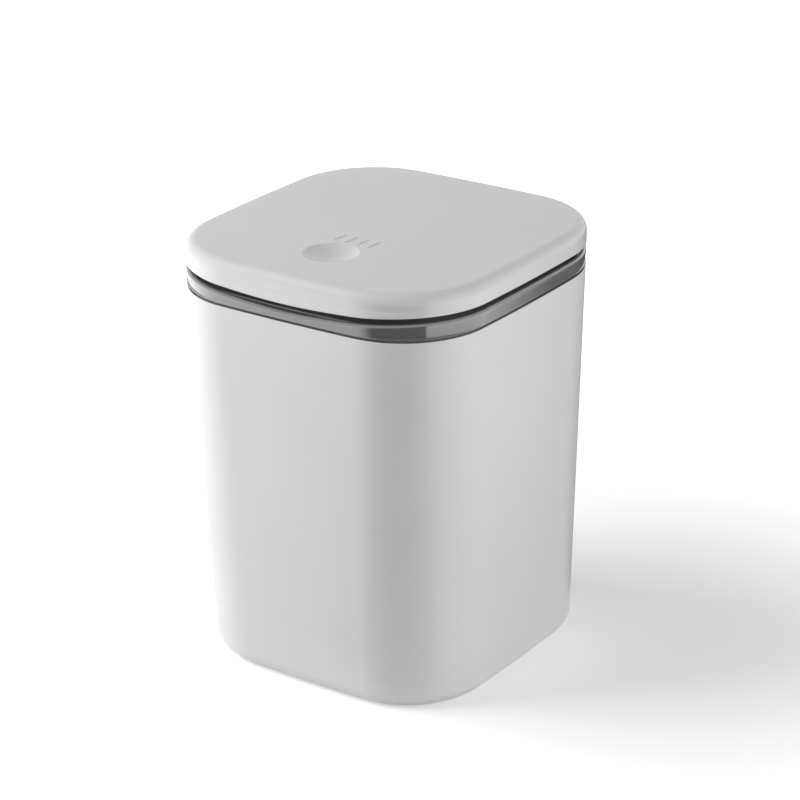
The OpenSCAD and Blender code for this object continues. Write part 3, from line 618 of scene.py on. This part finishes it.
def lid_surface(sizes, body):
    """Lid's moulding: one skin from its ceiling, down the inside, round the edge and over the top.

    The lower edge sinks at the front by the dip times cos^2. Above the finger lip's crease the
    front stands in, and this fades by s^2 (3 - 2 s) round the corners. At the back the side is
    cut away, up to the ceiling, over the hinge housing. The top runs in straight lines to the
    dimple's rim, and the dimple is a sphere's cap met smoothly: drop = (d + sqrt(d^2 + e^2)) / 2,
    with d = sqrt(R^2 - p^2) - (R - depth) at a distance p from its middle. The ceiling sinks in
    a round pad behind it.
    """
    top_z = BIN_H - sizes.bar_h
    ceiling_z, edge_z, roll_z = top_z - sizes.wall, top_z - sizes.side_h, top_z - sizes.edge_r
    inner_r, inner_half = sizes.edge_r - sizes.wall, HALF_W - sizes.wall
    notch, gap = sizes.notch_half, 0.0008
    cut = corner_share(notch, HALF_W, sizes.corner_r, body.side_bow)
    stations = make_stations([cut - gap, cut + gap, 1 - cut - gap, 1 - cut + gap])
    edge_x, edge_y = outline(HALF_W, sizes.corner_r, body.side_bow, stations)
    low_z = edge_z - sizes.dip * front_dip(edge_x, edge_y)
    fade_end, fade_width = 64 * MM, 22 * MM
    fade = np.clip((fade_end - abs(edge_x)) / fade_width, 0, 1)
    lip = sizes.lip_in * np.where(edge_y < 0, fade ** 2 * (3 - 2 * fade), 0)

    fine, crease = FINE_EASE, 0.25 * MM
    rows = [(inner_half - inner_r, ceiling_z), *bend(inner_half, ceiling_z, inner_r, 8, 90, 0)]
    rows += [(inner_half, low_z + (roll_z - low_z) * k) for k in (0.7, 0.4)]
    rows += [(inner_half, low_z + EASE), (inner_half + fine, low_z + fine),
             (inner_half + EASE, low_z)]
    outer_from = len(rows)
    rows += [(HALF_W - EASE, low_z), (HALF_W - fine, low_z + fine), (HALF_W, low_z + EASE)]
    below, above = sizes.crease_z - crease, sizes.crease_z + crease
    rows += [(HALF_W, low_z + EASE + (below - low_z - EASE) * k) for k in (0.3, 0.6, 0.85, 1.0)]
    rows += [(HALF_W, sizes.crease_z), (HALF_W, above)]
    rows += [(HALF_W, above + (roll_z - above) * k) for k in (0.35, 0.7)]
    rows += bend(HALF_W, top_z, sizes.edge_r, 17)
    w = column([row[0] for row in rows]) + 0 * edge_x
    z = np.stack([row[1] + 0 * low_z for row in rows])

    flare = np.clip((z - low_z) / (sizes.crease_z - low_z), 0, 1)
    soft = np.clip((z - below) / (2 * crease), 0, 1)
    w[outer_from:] -= (lip * (flare + 0.3 * soft))[outer_from:]
    roll_at_ceiling = (ceiling_z - roll_z) / sizes.edge_r
    cut_half = HALF_W - sizes.edge_r * (1 - np.sqrt(1 - roll_at_ceiling ** 2))
    cut_here = (abs(edge_x) < notch) & (edge_y > 0) & (z < ceiling_z)
    w = np.where(cut_here, np.minimum(w, cut_half), w)
    z = np.where(cut_here, ceiling_z, z)
    x, y = outline(w, sizes.corner_r - (HALF_W - w), body.side_bow, stations)
    side = stacked(x, y, z)

    away_x, away_y = x[-1], y[-1] + sizes.dimple_out
    far = np.hypot(away_x, away_y)
    rim_r = sizes.dimple_r + 1.6 * MM
    ball_r = (sizes.dimple_r ** 2 + sizes.dimple_depth ** 2) / (2 * sizes.dimple_depth)
    flat = far + (rim_r - far) * column([0.03, 0.1, 0.25, 0.45, 0.65, 0.82, 0.93, 1.0])
    bowl = column([*np.linspace(0.985, 0.74, 22), *np.linspace(0.7, 0.04, 18)])
    p = np.concatenate([flat, rim_r * bowl + 0 * far])
    d = np.sqrt(np.clip(ball_r ** 2 - p ** 2, 0, None)) - (ball_r - sizes.dimple_depth)
    inside = np.clip((1 - p / rim_r) / 0.1, 0, 1)
    meeting = 0.09 * MM
    drop = inside * (d + np.sqrt(d ** 2 + meeting ** 2)) / 2
    top = stacked(away_x / far * p, away_y / far * p - sizes.dimple_out, top_z - drop)

    back_x, back_y = x[0], y[0] + sizes.dimple_out
    reach = np.hypot(back_x, back_y)
    pad_r, pad_z = sizes.dimple_r + 1 * MM, top_z - sizes.dimple_depth - 0.45 * MM
    in_pad = pad_r * column([0.3, 0.7, 1.0]) + 0 * reach
    p = np.concatenate([in_pad, pad_r + (reach - pad_r) * column([0.02, 0.3, 0.65])])
    height = column([pad_z] * 3 + [ceiling_z] * 3)
    ceiling = stacked(back_x / reach * p, back_y / reach * p - sizes.dimple_out, height)
    return skin(np.concatenate([ceiling, side, top]))


def bar_surface(sizes, x):
    """Raised bar with a pillowed top: rounded rectangles that draw in as they rise."""
    half_x, half_y, ease, flat = 1.1 * MM, 3.7 * MM, 0.3 * MM, 0.01 * MM
    mid_y = half_y + sizes.dimple_r - sizes.dimple_out + 1.2 * MM
    low = BIN_H - sizes.bar_h - 0.2 * MM
    rows = [(0.0, low), *[(ease * (1 - c), BIN_H - sizes.bar_h * (1 - s)) for c, s in zip(*arc(7))]]
    outlines = [rounded_rectangle(half_x - e, half_y - e, half_x - e - flat, 9) for e, z in rows]
    return skin(np.stack([stacked(*xy, z) for xy, (e, z) in zip(outlines, rows)]) + [x, mid_y, 0])


def arm_surface(sizes, side):
    """One arm of the lid: a web that ends in a round eye about the pin, with eased ends along X.

    The web's back leans in towards its root, so that it clears the ring's ridge with the lid open.
    """
    half, r, e, lean = sizes.arm_half, 3.2 * MM, 0.35 * MM, 0.9 * MM
    root = BIN_H - 1.2 * MM - HINGE_Z
    t = np.radians(np.linspace(180, 360, 33))
    y = np.concatenate([[-r, -r], r * np.cos(t)[1:-1], [r, r - lean]])
    z = np.concatenate([[root, 0], r * np.sin(t)[1:-1], [0, root]])
    rows = [(e * (1 - c) - half, 1 - e * (1 - s) / r) for c, s in zip(*arc(4))]
    rows += [(-x, k) for x, k in rows[::-1]]
    x, k = columns(rows)
    z = np.where(z > 0, z, z * k)
    return skin(stacked(side * sizes.arm_x + x, HINGE_Y + y * k, HINGE_Z + z))


def boss_surfaces(sizes):
    """Screw bosses and the pad behind the dimple, between the lid's ceiling and its liner."""
    ceiling, e = BIN_H - sizes.bar_h - sizes.wall + 0.5 * MM, 0.15 * MM
    screw_x, screw_y, striker_x = 42 * MM, 39 * MM, 7.2 * MM
    places = [(sx * screw_x, sy * screw_y) for sx in (-1, 1) for sy in (-1, 1)]
    places += [(side * striker_x, LATCH_Y) for side in (-1, 1)]
    post = [(2.7 * MM, LINER_TOP_Z), (3 * MM, LINER_TOP_Z + 0.3 * MM), (3 * MM, ceiling)]
    pad_r, pad_z = sizes.dimple_r + 2.5 * MM, LINER_TOP_Z + 0.02 * MM
    pad = [(pad_r - e, pad_z), (pad_r, pad_z + e), (pad_r, ceiling), (pad_r - 1 * MM, ceiling),
           (pad_r - 1.2 * MM, pad_z + e)]
    return [*[turned(post, (*place, 0)) for place in places], turned(pad, (0, -sizes.dimple_out, 0))]


def screw_surface(place, low, high, shaft_r, head_r, head_h):
    """Screw seen from below: a head with a cross recess, and a shaft with a fine thread.

    The recess sinks where |x| or |y| is within the half width of the cross, by a step that is
    softened as 1 / (1 + e^d), and less towards its tips. The shaft's radius is
    R - t + t sin(turn + 2 pi height / pitch).
    """
    t = np.linspace(0, 2 * np.pi, 96, endpoint=False)
    p = column([0.03, 0.08, 0.14, 0.2, 0.26, 0.32, 0.4, 0.5, 0.6, 0.7, 0.78, 0.86]) * head_r
    x, y = p * np.cos(t), p * np.sin(t)
    cross, soft, tips = 0.16 * head_r, 0.03 * head_r, 0.62 * head_r
    near = np.minimum(abs(x), abs(y))
    sunk = 1 / (1 + np.exp((near - cross) / soft)) * np.clip(1.25 - p / tips, 0, 1)
    face = stacked(x, y, low + 0.55 * head_h * sunk)
    e = 0.12 * head_r
    rim = bend(head_r, low + 2 * e, e, 5, -90, 0) + [(head_r, low + head_h), (shaft_r, low + head_h)]
    pitch, tooth = 0.55 * shaft_r, 0.06 * shaft_r
    rise = column(np.linspace(low + head_h, high - 0.6 * shaft_r, 60)[1:])
    thread = shaft_r - tooth + tooth * np.sin(t + 2 * np.pi * rise / pitch)
    tip = [(0.7 * shaft_r, high - 0.3 * shaft_r), (0.25 * shaft_r, high)]

    def round_rows(radius, height):
        return stacked(radius * np.cos(t), radius * np.sin(t), height + 0 * t)

    head, end = (round_rows(*columns(rows)) for rows in (rim, tip))
    return skin(np.concatenate([face, head, round_rows(thread, rise), end]) + [*place, 0])


def rod_surface(place, r, half, axis):
    """Pin with eased ends, centred on a place."""
    e = 0.2 * r
    profile = [(r - e, -half), (r, -half + e), (r, half - e), (r - e, half)]
    return turned(profile, place, axis)


def lid_spring_path(side):
    """Lid spring about the hinge: lower leg, then turns that step along X, then the upper leg."""
    wire_r, turns, leg = 0.4 * MM, 4.5, 8.5 * MM
    coil_r = LINER_Z - HINGE_Z - wire_r - 0.2 * MM
    start_x, pitch = 10 * MM, 1.35 * MM
    a = np.linspace(0, turns, int(turns * 32) + 1)
    t = 2 * np.pi * a - np.pi / 2
    coil = np.stack([side * (start_x + pitch * a), coil_r * np.cos(t), coil_r * np.sin(t)], axis=-1)
    lead = np.linspace(1, 0, 8, endpoint=False)[:, None]
    lower = coil[:1] + lead * [0, -leg, 0]
    upper = coil[-1:] + lead[::-1] * [0, -leg, 0]
    return np.concatenate([lower, coil, upper]) + [0, HINGE_Y, HINGE_Z], wire_r


def latch_spring_path():
    """Latch spring: a helix that rises from the cover into the slider."""
    wire_r, turns = 0.3 * MM, 6
    box = corners("latch_spring")
    low, high, coil_r = box[0, 2] + wire_r, box[1, 2] - wire_r, box[1, 0] - wire_r
    a = np.linspace(0, turns, turns * 32 + 1)
    t = 2 * np.pi * a
    rise = np.clip(low + (high - low) * a / turns, low, high)
    coil = np.stack([coil_r * np.cos(t), LATCH_Y + coil_r * np.sin(t), rise], axis=-1)
    return coil, wire_r, low, high


# Operators

class BIN_OT_body(bpy.types.Operator):
    """Builds the tapered body of the bin"""
    bl_idname = "bin.body"
    bl_label = "Body"

    def execute(self, context):
        scene = context.scene
        satin = material_once("body_plastic", satin_plastic, "body")
        surfaces = [body_surface(scene.bin_body_sizes)]
        make_piece("body_shell", surfaces, satin, "bin", ["bin_body"])
        return {"FINISHED"}


class BIN_OT_ring(bpy.types.Operator):
    """Builds the glossy top ring with its hinge housing and latch plate, and the hinge pin"""
    bl_idname = "bin.ring"
    bl_label = "Top ring"

    def execute(self, context):
        scene = context.scene
        body, ring, lid = scene.bin_body_sizes, scene.bin_ring_sizes, scene.bin_lid_sizes
        polished = material_once("band_plastic", polished_plastic, "band")
        surfaces = [ring_surface(ring, body, lid), housing_surface(ring, lid), *plate_surfaces(ring)]
        make_piece("ring_moulding", surfaces, polished, "top", ["top_ring"])
        steel = material_once("steel_along_x", drawn_metal, "steel", "X", PIN_ROUGH)
        rod = rod_surface((0, HINGE_Y, HINGE_Z), PIN_R, PIN_HALF, "X")
        make_piece("hinge_rod", [rod], steel, "top", ["hinge_pin"])
        return {"FINISHED"}


class BIN_OT_lid(bpy.types.Operator):
    """Builds the lid with its dimple, raised bars, arms and liner"""
    bl_idname = "bin.lid"
    bl_label = "Lid"

    def execute(self, context):
        scene = context.scene
        sizes = scene.bin_lid_sizes
        satin = material_once("lid_plastic", satin_plastic, "lid", LID_ROUGH, LID_GLOSS)
        arms = [arm_surface(sizes, side) for side in (-1, 1)]
        surfaces = [lid_surface(sizes, scene.bin_body_sizes), *arms, *boss_surfaces(sizes)]
        make_piece("lid_moulding", surfaces, satin, "lid", ["lid_shell"])
        middle = (sizes.bar_count - 1) / 2
        bars = [bar_surface(sizes, (i - middle) * sizes.bar_pitch) for i in range(sizes.bar_count)]
        make_piece("press_bars", bars, satin, "lid")
        finish_node("lid_liner", material_once("liner_plastic", sparked_plastic, "liner"))
        return {"FINISHED"}


class BIN_OT_springs(bpy.types.Operator):
    """Winds the two lid springs and the latch's spring"""
    bl_idname = "bin.springs"
    bl_label = "Springs"

    def execute(self, context):
        wire = material_once("spring_wire", drawn_metal, "wire", "X", WIRE_ROUGH)
        for side, name in ((-1, "lid_spring_left"), (1, "lid_spring_right")):
            path, wire_r = lid_spring_path(side)
            coil = tube(path, wire_r, (1, 0, 0))
            spring = make_piece(name + "_wire", [coil], wire, None, [name])
            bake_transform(spring)
        path, wire_r, low, high = latch_spring_path()
        coil = tube(path, wire_r, (0, 0, 1))
        spring = make_piece("latch_spring_wire", [coil], wire, None,
                            ["latch_spring"])
        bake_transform(spring)
        return {"FINISHED"}


class BIN_OT_latch(bpy.types.Operator):
    """Dresses the latch: its case, slider, claws, arrow and pins"""
    bl_idname = "bin.latch"
    bl_label = "Latch"

    def execute(self, context):
        dark = material_once("latch_dark", sparked_plastic, "case")
        white = material_once("latch_white", acetal, "acetal")
        steel = material_once("steel_along_y", drawn_metal, "steel", "Y", PIN_ROUGH)
        for name in ("latch_case", "latch_cover"):
            finish_node(name, dark)
        for name in ("latch_slider", "latch_claw_left", "latch_claw_right", "lid_striker"):
            finish_node(name, white, 0.15)
        rods = (("claw_pin_left", "claw_pin_left_rod", "Y", "slider", "steel"),
                ("claw_pin_right", "claw_pin_right_rod", "Y", "slider", "steel"),
                ("latch_cam_pin", "latch_cam_rod", "Z", "top", "spring_steel"))
        for node, name, axis, body, slot in rods:
            low, high = corners(node)
            half = (high - low) / 2
            rod = rod_surface(low + half, half[0], half["XYZ".index(axis)], axis)
            make_piece(name, [rod], steel, body, [node])
        return {"FINISHED"}


class BIN_OT_screws(bpy.types.Operator):
    """Makes the screws of the liner, the arrow and the latch"""
    bl_idname = "bin.screws"
    bl_label = "Screws"

    def execute(self, context):
        steel = material_once("steel_along_z", drawn_metal, "steel", "Z", WIRE_ROUGH)
        groups = (("liner_screws", "lid", 1.0, 1.8, 0.8), ("striker_screws", "lid", 1.0, 1.8, 0.8),
                  ("latch_screws", "top", 1.25, 2.4, 1.5))
        for name, body, shaft_r, head_r, head_h in groups:
            low, high = corners(name)
            edge = head_r * MM
            rows = {round(low[1] + edge, 6), round(high[1] - edge, 6)}
            places = [(x, y) for x in (low[0] + edge, high[0] - edge) for y in sorted(rows)]
            screws = [screw_surface(place, low[2], high[2], shaft_r * MM, edge, head_h * MM)
                      for place in places]
            make_piece(name + "_crossed", screws, steel, body, [name], join=THREAD_JOIN)
        return {"FINISHED"}


# Camera, from a fit of the bin's edges to the photograph at its real size
CAMERA_TURN = 0.6264
CAMERA_RISE = 0.4079
CAMERA_ROLL = -0.0208
CAMERA_AWAY = 1.12035
CAMERA_TARGET = (0, 0, 0.0875)
CAMERA_LENS = 125.44
CAMERA_ASIDE = -0.003274
CAMERA_OVER = -0.011191

# Soft boxes: turn from the front and rise in degrees, distance, width and height in metres
LEFT_BOX = (-60, 25, 1.3, 1.0, 1.6)
RIGHT_BOX = (93, 17, 1.3, 1.4, 1.1)

# Dark cards before the front corner and behind the right one: turns in degrees and grey of each,
# the turn over which their first edge fades in, and their reach in metres
FRONT_CARD = (-12, 57, 0.02)
BACK_CARD = (131, 215, 0.14)
CARD_SOFT = 14
CARD_NEAR = 0.09
CARD_FAR = 1.5

# Floor: half its width, its grey, how far it lies under the bin and the cards over it, and the
# distances between which its own glow grows from GLOW_LOW to 1
FLOOR_HALF = 12.0
FLOOR_TONE = 0.8
SHEET_GAP = 0.05 * MM
GLOW_NEAR = 0.1
GLOW_FAR = 0.45
GLOW_LOW = 0.35


class BIN_OT_stage(bpy.types.Operator):
    """Sets up the floor, the studio light and the camera"""
    bl_idname = "bin.stage"
    bl_label = "Stage"

    def execute(self, context):
        scene = context.scene
        scene.view_settings.view_transform = "Standard"
        studio = scene.bin_studio
        make_world(scene, studio.ambient)
        make_floor()
        make_dark_card("dark_card", *FRONT_CARD)
        make_dark_card("dark_card_back", *BACK_CARD)
        make_soft_box("left_soft_box", *LEFT_BOX, studio.left_lamp)
        make_soft_box("right_soft_box", *RIGHT_BOX, studio.right_lamp)
        make_camera(scene)
        return {"FINISHED"}


def toward(turn, rise):
    """Unit vector at a turn from the front and a rise above the horizon, in radians."""
    return np.array([np.sin(turn) * np.cos(rise), -np.cos(turn) * np.cos(rise), np.sin(rise)])


def facing(back):
    """Right, up and back directions of a lamp or camera whose back points along a vector."""
    right = np.cross([0, 0, 1], back)
    right /= np.linalg.norm(right)
    return np.stack([right, np.cross(back, right), back])


def lean(i, j, angle):
    """Rotation that leans row i of a set of directions towards row j by an angle in radians."""
    turn = np.eye(3)
    turn[[i, j], [i, j]], turn[i, j], turn[j, i] = np.cos(angle), np.sin(angle), -np.sin(angle)
    return turn


def place_object(name, data, axes, position):
    """Adds an object whose right, up and back directions are the rows of axes."""
    thing = add_object(name, data)
    pose = np.eye(4)
    pose[:3, :3], pose[:3, 3] = axes.T, position
    thing.matrix_world = Matrix(pose.tolist())
    return thing


def make_soft_box(name, turn, rise, away, wide, high, power):
    """Rectangular soft box that faces the middle of the bin."""
    lamp = bpy.data.lights.new(name, "AREA")
    lamp.shape = "RECTANGLE"
    lamp.size, lamp.size_y, lamp.energy = wide, high, power
    back = toward(np.radians(turn), np.radians(rise))
    box = place_object(name, lamp, facing(back), np.array(CAMERA_TARGET) + away * back)
    box.visible_camera = box.visible_glossy = False


def make_camera(scene):
    """Camera at the photograph's angle: turned and raised about the bin, rolled and aimed off."""
    level = facing(toward(CAMERA_TURN, CAMERA_RISE))
    rolled = lean(0, 1, CAMERA_ROLL) @ level
    aimed = lean(2, 1, CAMERA_OVER) @ lean(2, 0, CAMERA_ASIDE) @ rolled
    lens = bpy.data.cameras.new("photo_camera")
    lens.lens, lens.sensor_width = CAMERA_LENS, 36
    lens.clip_start, lens.clip_end = 0.01, 50
    position = np.array(CAMERA_TARGET) + CAMERA_AWAY * level[2]
    scene.camera = place_object("photo_camera", lens, aimed, position)


def seen_directly(tree):
    """1 where a ray comes from the camera, off a mirror or through glass, and 0 elsewhere."""
    path = add(tree, "LightPath")
    value = path["Is Camera Ray"]
    for kind in ("Is Glossy Ray", "Is Transmission Ray"):
        value = add(tree, "Math", {0: value, 1: path[kind]}, operation="MAXIMUM")["Value"]
    return value


def make_world(scene, ambient):
    """Even light from all round, seen as plain white."""
    scene.world = bpy.data.worlds.new("studio")
    scene.world.use_nodes = True
    tree = scene.world.node_tree
    level = add(tree, "MapRange", {"Value": seen_directly(tree), "To Min": ambient, "To Max": 1.0})
    feed(tree.nodes["Background"], {"Color": (1, 1, 1, 1), "Strength": level["Result"]})


def make_sheet(name, verts, faces, paper, tone):
    """Flat sheet of matt grey paper, with its node tree and shader."""
    mesh = bpy.data.meshes.new(name)
    mesh.from_pydata(verts, [], faces)
    material, tree, shader = new_material(paper)
    feed(shader, {"Base Color": (tone, tone, tone, 1), "Roughness": 0.9, "Specular IOR Level": 0.0})
    mesh.materials.append(material)
    return add_object(name, mesh), tree, shader


def make_floor():
    """Pale floor that is white to the eye and keeps the bin's shadow."""
    verts = [(x * FLOOR_HALF, y * FLOOR_HALF, 0) for x, y in ((-1, -1), (1, -1), (1, 1), (-1, 1))]
    floor, tree, shader = make_sheet("floor", verts, [(0, 1, 2, 3)], "floor_paper", FLOOR_TONE)
    floor.location.z = -SHEET_GAP
    place = add(tree, "TexCoord")["Object"]
    away = add(tree, "VectorMath", {0: place}, operation="LENGTH")["Value"]
    rise = {"Value": away, "From Min": GLOW_NEAR, "From Max": GLOW_FAR, "To Min": GLOW_LOW}
    glow = add(tree, "MapRange", rise, interpolation_type="SMOOTHSTEP")["Result"]
    glow = add(tree, "Math", {0: glow, 1: seen_directly(tree)}, operation="MULTIPLY")["Value"]
    feed(shader, {"Emission Color": (1, 1, 1, 1), "Emission Strength": glow})


def make_dark_card(name, start, end, tone):
    """Dark card on the floor, which only the bin's gloss shows: a ring's sector in a grey tone."""
    turn = np.radians(np.linspace(start, end, 40))
    ring = np.stack([np.sin(turn), -np.cos(turn), 0 * turn], axis=-1)
    verts = np.concatenate([CARD_NEAR * ring, CARD_FAR * ring]) + [0, 0, SHEET_GAP]
    first = np.arange(len(ring) - 1)
    faces = np.stack([first, first + len(ring), first + len(ring) + 1, first + 1], axis=-1)
    card, tree, shader = make_sheet(name, verts.tolist(), faces.tolist(), name, tone)
    cover = np.tile(np.clip((np.degrees(turn) - start) / CARD_SOFT, 0, 1), 2).astype(np.float32)
    card.data.attributes.new("cover", "FLOAT", "POINT").data.foreach_set("value", cover)
    feed(shader, {"Alpha": add(tree, "Attribute", attribute_name="cover")["Fac"]})
    card.visible_camera = card.visible_diffuse = False
    card.visible_shadow = card.visible_transmission = False


class BIN_PT_panel(bpy.types.Panel):
    """Lists the bin's pieces, sizes and colours"""
    bl_idname = "BIN_PT_panel"
    bl_label = "Push Top Bin"
    bl_space_type = "VIEW_3D"
    bl_region_type = "UI"
    bl_category = "Bin"

    def draw(self, context):
        layout = self.layout
        for operator in OPERATORS:
            layout.operator(operator.bl_idname)
        for name, group in GROUPS.items():
            box = layout.box()
            for key in group.__annotations__:
                box.prop(getattr(context.scene, name), key)


GROUPS = {
    "bin_body_sizes": BinBodySizes,
    "bin_ring_sizes": BinRingSizes,
    "bin_lid_sizes": BinLidSizes,
    "bin_colours": BinColours,
    "bin_studio": BinStudio,
}
OPERATORS = (BIN_OT_body, BIN_OT_ring, BIN_OT_lid, BIN_OT_springs, BIN_OT_latch, BIN_OT_screws,
             BIN_OT_stage)


def register():
    for kind in (*GROUPS.values(), *OPERATORS, BIN_PT_panel):
        bpy.utils.register_class(kind)
    for name, group in GROUPS.items():
        setattr(bpy.types.Scene, name, PointerProperty(type=group))


def unregister():
    for name in GROUPS:
        delattr(bpy.types.Scene, name)
    for kind in (BIN_PT_panel, *reversed(OPERATORS), *reversed(GROUPS.values())):
        bpy.utils.unregister_class(kind)


def main():
    register()
    bpy.ops.bin.body()
    bpy.ops.bin.ring()
    bpy.ops.bin.lid()
    bpy.ops.bin.springs()
    bpy.ops.bin.latch()
    bpy.ops.bin.screws()
    bpy.ops.bin.stage()


if __name__ == "__main__":
    main()
